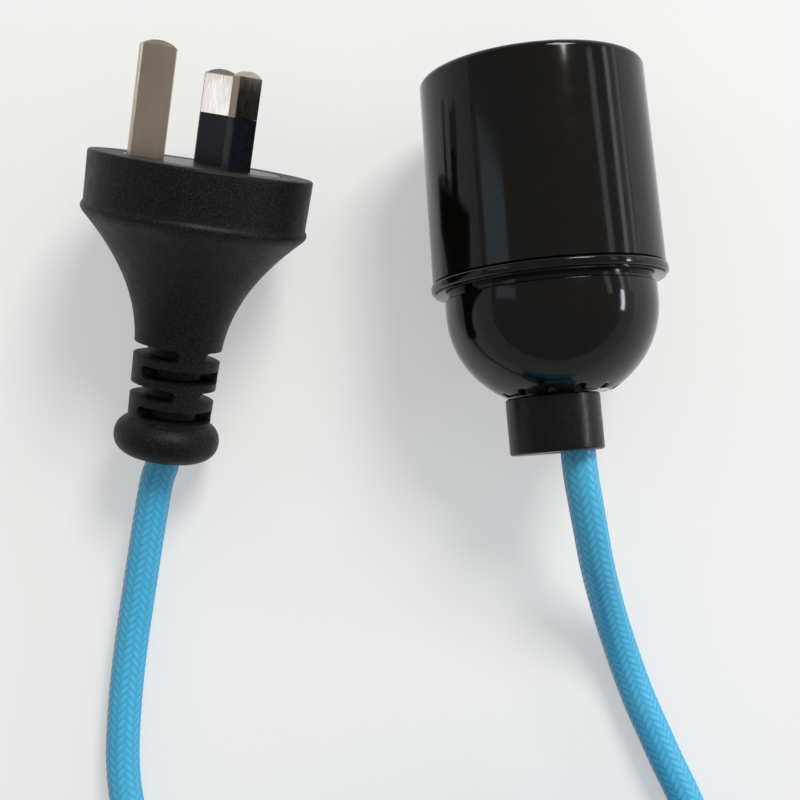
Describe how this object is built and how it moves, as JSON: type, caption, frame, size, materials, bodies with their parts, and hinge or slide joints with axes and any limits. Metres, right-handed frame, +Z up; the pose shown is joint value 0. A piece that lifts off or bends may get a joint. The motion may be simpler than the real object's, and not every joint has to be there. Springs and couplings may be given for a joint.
{
  "type": "plug-in pendant cord",
  "caption": "Screw-thread lampholder with a domed cap and cord grip, joined by a round braided cord to a moulded flat-pin mains plug.",
  "frame": {"origin": "on the table, under the middle of the lampholder, which lies on its flange ring", "axes": "+Y along the lampholder's axis, out of its mouth; +Z up; the plug lies on the -X side with its pins towards +Y, and the coil on the -Y side"},
  "size_m": [0.1202, 0.2412, 0.0419],
  "materials": {
    "black_phenolic": "compression-moulded black phenolic, glossy",
    "black_nylon": "injection-moulded black nylon, satin",
    "black_pvc": "over-moulded black PVC with a fine spark-eroded grain",
    "pin_insulation": "moulded insulating sleeve, semi-gloss",
    "nickel_pin": "nickel-plated brass strip, lightly drawn",
    "brass": "stamped brass",
    "zinc_steel": "zinc-plated steel",
    "white_ceramic": "unglazed white steatite",
    "blue_braid": "sky-blue braided polyester cover, glossy yarn",
    "brown_core": "brown core insulation",
    "blue_core": "light blue core insulation",
    "green_core": "green and yellow core insulation",
    "tie_webbing": "black woven hook-and-loop strap"
  },
  "bodies": {
    "root": {"sleeve": "black_phenolic", "dome_cap": "black_phenolic", "cord_grip": "black_nylon", "cord_grip_screw": "black_nylon", "contact_carrier": "white_ceramic", "centre_contact": "brass", "side_contact": "brass", "centre_contact_rivet": "brass", "side_contact_rivet": "brass", "active_terminal": "brass", "neutral_terminal": "brass", "active_terminal_screw": "zinc_steel", "neutral_terminal_screw": "zinc_steel", "holder_active_core": "brown_core", "holder_neutral_core": "blue_core", "holder_earth_core": "green_core", "earth_core_cap": "black_nylon", "plug_body": "black_pvc", "pin_bridge": "black_nylon", "earth_pin": "nickel_pin", "active_pin": "nickel_pin", "neutral_pin": "nickel_pin", "active_pin_sleeve": "pin_insulation", "neutral_pin_sleeve": "pin_insulation", "plug_active_core": "brown_core", "plug_neutral_core": "blue_core", "plug_earth_core": "green_core", "cord_holder_lead": "blue_braid", "cord_coil": "blue_braid", "cord_plug_lead": "blue_braid", "coil_tie": "tie_webbing"}
  },
  "joints": []
}
